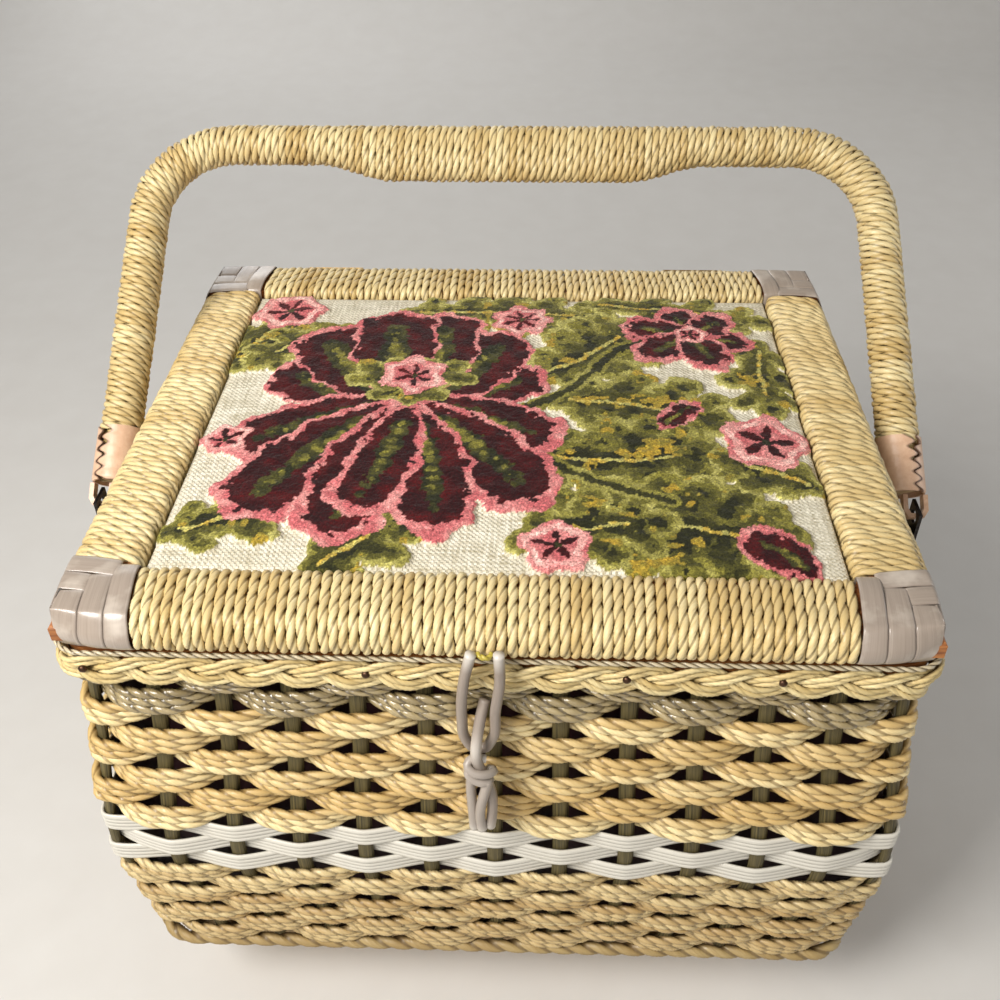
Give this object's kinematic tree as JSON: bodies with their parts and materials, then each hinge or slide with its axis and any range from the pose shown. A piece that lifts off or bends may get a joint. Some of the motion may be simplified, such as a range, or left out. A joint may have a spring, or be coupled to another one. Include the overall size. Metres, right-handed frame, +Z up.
{
  "type": "sewing basket",
  "caption": "Rectangular woven sewing basket with bulging sides, a padded tapestry lid hinged at the back, a cord loop latch and a cord-wound bail handle.",
  "frame": {"origin": "middle of the base board's underside, on the surface that the basket stands on", "axes": "+X to the right along the lid's long side, +Y from the latch to the back hinges, +Z up"},
  "size_m": [0.3352, 0.2594, 0.2637],
  "materials": {
    "twisted_paper_cord": "straw-coloured twisted paper cord, satin",
    "wound_paper_cord": "straw-coloured two-ply paper cord, wound side by side",
    "glossy_cane": "greyer lacquered paper cord, glossy",
    "olive_reed": "olive-brown round reed, grooved along its length",
    "white_plastic_cane": "white ribbed flat plastic cane",
    "pearly_vinyl_strip": "grey-mauve vinyl strip with a pearly sheen",
    "grey_vinyl_cord": "grey-mauve vinyl cord",
    "yellow_plastic_twist": "yellowish plastic twist",
    "velvet_tapestry": "cream linen ground with cut-velvet flowers over padding",
    "orange_brown_wood": "orange-brown varnished wood",
    "pale_board": "plain pale board",
    "maroon_satin": "maroon satin over thin board",
    "beige_painted_metal": "pinkish-beige enamelled sheet metal",
    "dark_steel": "dark blued steel",
    "brass": "small brass hinge"
  },
  "bodies": {
    "basket": {"base_board": "pale_board", "foot_rope": "twisted_paper_cord", "front_stakes": "olive_reed", "back_stakes": "olive_reed", "left_stakes": "olive_reed", "right_stakes": "olive_reed", "rim_frame": "orange_brown_wood", "rim_braid": "twisted_paper_cord", "rim_trim": "glossy_cane", "glossy_row": "glossy_cane", "upper_row_1": "twisted_paper_cord", "upper_row_2": "twisted_paper_cord", "upper_row_3": "twisted_paper_cord", "upper_row_4": "twisted_paper_cord", "upper_row_5": "twisted_paper_cord", "upper_row_6": "twisted_paper_cord", "upper_row_7": "twisted_paper_cord", "white_row_1": "white_plastic_cane", "white_row_2": "white_plastic_cane", "white_row_3": "white_plastic_cane", "lower_row_1": "twisted_paper_cord", "lower_row_2": "twisted_paper_cord", "lower_row_3": "twisted_paper_cord", "lower_row_4": "twisted_paper_cord", "lower_row_5": "twisted_paper_cord", "lower_row_6": "twisted_paper_cord", "lower_row_7": "twisted_paper_cord", "lining_floor": "maroon_satin", "lining_front": "maroon_satin", "lining_back": "maroon_satin", "lining_left": "maroon_satin", "lining_right": "maroon_satin", "handle_bracket_left": "dark_steel", "handle_bracket_right": "dark_steel", "hinge_lower_left": "brass", "hinge_lower_right": "brass"},
    "lid": {"lid_frame": "orange_brown_wood", "lid_front_winding": "wound_paper_cord", "lid_back_winding": "wound_paper_cord", "lid_left_winding": "wound_paper_cord", "lid_right_winding": "wound_paper_cord", "lid_corner_front_left": "pearly_vinyl_strip", "lid_corner_front_right": "pearly_vinyl_strip", "lid_corner_back_left": "pearly_vinyl_strip", "lid_corner_back_right": "pearly_vinyl_strip", "lid_panel": "velvet_tapestry", "lid_board": "pale_board", "lid_lining": "maroon_satin", "hinge_upper_left": "brass", "hinge_upper_right": "brass", "latch_tie": "yellow_plastic_twist"},
    "loop": {"latch_loop": "grey_vinyl_cord"},
    "toggle": {"latch_toggle": "grey_vinyl_cord"},
    "handle": {"handle_core": "pale_board", "handle_winding": "twisted_paper_cord", "handle_ferrule_left": "beige_painted_metal", "handle_ferrule_right": "beige_painted_metal", "handle_eye_left": "beige_painted_metal", "handle_eye_right": "beige_painted_metal"}
  },
  "joints": [
    {"name": "lid_hinge", "type": "hinge", "parent": "basket", "child": "lid", "pos_m": [0, 0.1242, 0.1773], "axis": [-1, 0, 0], "range_deg": [0, 45]},
    {"name": "loop_swing", "type": "hinge", "parent": "lid", "child": "loop", "pos_m": [0, -0.1236, 0.186], "axis": [-1, 0, 0], "range_deg": [0, 90], "deforming": ["latch_loop"]},
    {"name": "toggle_swing", "type": "hinge", "parent": "basket", "child": "toggle", "pos_m": [-0.0024, -0.1206, 0.1626], "axis": [-1, 0, 0], "range_deg": [0, 45]},
    {"name": "handle_swing", "type": "hinge", "parent": "basket", "child": "handle", "pos_m": [0, -0.016, 0.154], "axis": [1, 0, 0], "range_deg": [-12, 160]}
  ]
}
